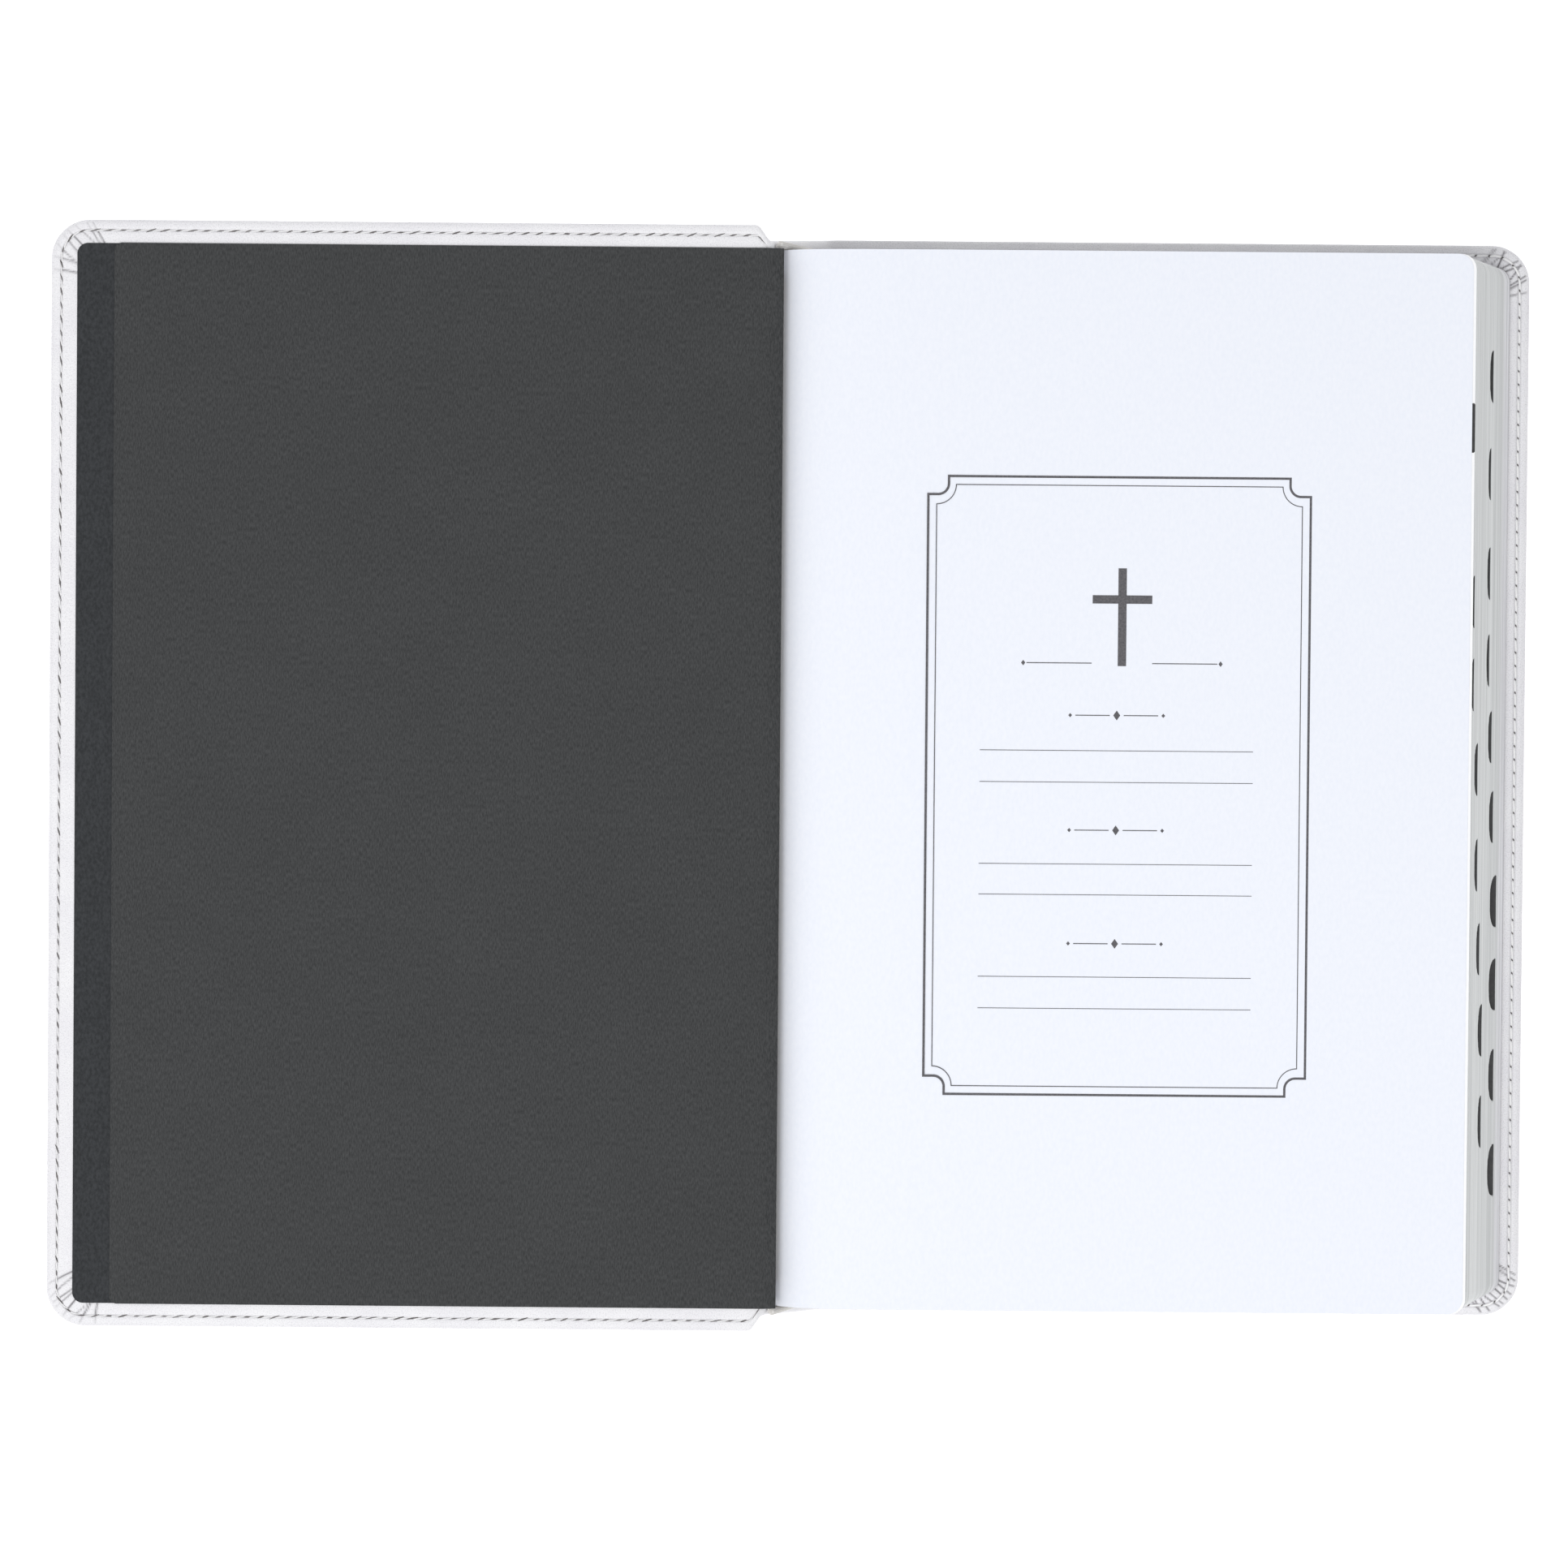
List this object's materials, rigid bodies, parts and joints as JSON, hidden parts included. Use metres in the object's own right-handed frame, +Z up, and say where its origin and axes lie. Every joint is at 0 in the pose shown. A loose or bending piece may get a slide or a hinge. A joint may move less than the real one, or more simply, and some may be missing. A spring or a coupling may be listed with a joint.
{
  "type": "bible",
  "caption": "Open thumb-indexed bible in a stitched soft white cover with dark endpapers; hinged covers, turning leaves and a text block that shears as it shuts.",
  "frame": {"origin": "under the middle of the open spread, midway between the two hinge lines, on the surface that the back cover lies on", "axes": "+X towards the right-hand fore-edge, +Y towards the head of the page, +Z up out of the open page"},
  "size_m": [0.3228, 0.238, 0.04],
  "materials": {
    "cover_leather": "pearl white imitation leather with a fine pebble grain",
    "thread": "off-white polyester thread",
    "board": "flexible grey-brown board",
    "pastedown_paper": "dark blue-grey uncoated paper",
    "endpaper": "dark grey laid paper with a fine vertical grain",
    "white_paper": "smooth bright white paper",
    "text_paper": "thin bible paper with silvered edges",
    "index_label": "black index label with a soft gloss",
    "lining_cloth": "open-weave lining cloth",
    "band_cloth": "corded cotton band"
  },
  "bodies": {
    "text_base": {"text_section_1": "text_paper", "back_flyleaf": "endpaper"},
    "back_cover": {"back_cover_skin": "cover_leather", "back_board": "board", "back_pastedown": "pastedown_paper", "back_seam": "thread"},
    "spine": {"spine_skin": "cover_leather", "spine_inlay": "board", "mull": "lining_cloth", "head_band": "band_cloth", "tail_band": "band_cloth", "spine_seam": "thread"},
    "front_cover": {"front_cover_skin": "cover_leather", "front_board": "board", "front_pastedown": "pastedown_paper", "front_seam": "thread"},
    "section_2": {"text_section_2": "text_paper", "index_tabs_2": "index_label"},
    "section_3": {"text_section_3": "text_paper", "index_tabs_3": "index_label"},
    "section_4": {"text_section_4": "text_paper", "index_tabs_4": "index_label"},
    "section_5": {"text_section_5": "text_paper", "index_tabs_5": "index_label"},
    "section_6": {"text_section_6": "text_paper", "index_tabs_6": "index_label"},
    "section_7": {"text_section_7": "text_paper", "index_tabs_7": "index_label"},
    "section_8": {"text_section_8": "text_paper", "index_tabs_8": "index_label"},
    "section_9": {"text_section_9": "text_paper"},
    "record_pages": {"record_pages": "white_paper"},
    "presentation_leaf": {"presentation_leaf": "white_paper"},
    "front_flyleaf": {"front_flyleaf": "endpaper"}
  },
  "joints": [
    {"name": "back_cover_hinge", "type": "hinge", "parent": "text_base", "child": "back_cover", "pos_m": [0.00656, 0, 0.0009], "axis": [0, 1, 0], "range_deg": [0, 179.5]},
    {"name": "spine_lean", "type": "hinge", "parent": "text_base", "child": "spine", "pos_m": [0.00656, 0, 0.0009], "axis": [0, 1, 0], "range_deg": [0, 19.06]},
    {"name": "front_cover_hinge", "type": "hinge", "parent": "spine", "child": "front_cover", "pos_m": [-0.00656, 0, 0.0389], "axis": [0, 1, 0], "range_deg": [0, 160.46]},
    {"name": "section_2_shear", "type": "slide", "parent": "text_base", "child": "section_2", "axis": [1, 0, 0], "range_m": [0, 0.00165]},
    {"name": "section_3_shear", "type": "slide", "parent": "text_base", "child": "section_3", "axis": [1, 0, 0], "range_m": [0, 0.00329]},
    {"name": "section_4_shear", "type": "slide", "parent": "text_base", "child": "section_4", "axis": [1, 0, 0], "range_m": [0, 0.00493]},
    {"name": "section_5_shear", "type": "slide", "parent": "text_base", "child": "section_5", "axis": [1, 0, 0], "range_m": [0, 0.00657]},
    {"name": "section_6_shear", "type": "slide", "parent": "text_base", "child": "section_6", "axis": [1, 0, 0], "range_m": [0, 0.00821]},
    {"name": "section_7_shear", "type": "slide", "parent": "text_base", "child": "section_7", "axis": [1, 0, 0], "range_m": [0, 0.00985]},
    {"name": "section_8_shear", "type": "slide", "parent": "text_base", "child": "section_8", "axis": [1, 0, 0], "range_m": [0, 0.01149]},
    {"name": "section_9_shear", "type": "slide", "parent": "text_base", "child": "section_9", "axis": [1, 0, 0], "range_m": [0, 0.01313]},
    {"name": "record_pages_turn", "type": "hinge", "parent": "section_9", "child": "record_pages", "pos_m": [-0.00486, 0, 0.04], "axis": [0, 1, 0], "range_deg": [-39.5, 0]},
    {"name": "presentation_leaf_turn", "type": "hinge", "parent": "record_pages", "child": "presentation_leaf", "pos_m": [-0.00486, 0, 0.04], "axis": [0, 1, 0], "range_deg": [-140, 0]},
    {"name": "flyleaf_turn", "type": "hinge", "parent": "front_cover", "child": "front_flyleaf", "pos_m": [-0.00486, 0, 0.04], "axis": [0, -1, 0], "range_deg": [-179.5, 0]}
  ],
  "couplings": [
    {"joint": "spine_lean", "follows": "front_cover_hinge", "ratio": 0.11868},
    {"joint": "section_2_shear", "follows": "front_cover_hinge", "m_per_rad": 0.00058545},
    {"joint": "section_3_shear", "follows": "front_cover_hinge", "m_per_rad": 0.0011709},
    {"joint": "section_4_shear", "follows": "front_cover_hinge", "m_per_rad": 0.0017564},
    {"joint": "section_5_shear", "follows": "front_cover_hinge", "m_per_rad": 0.0023418},
    {"joint": "section_6_shear", "follows": "front_cover_hinge", "m_per_rad": 0.0029272},
    {"joint": "section_7_shear", "follows": "front_cover_hinge", "m_per_rad": 0.0035127},
    {"joint": "section_8_shear", "follows": "front_cover_hinge", "m_per_rad": 0.0040981},
    {"joint": "section_9_shear", "follows": "front_cover_hinge", "m_per_rad": 0.0046836}
  ]
}
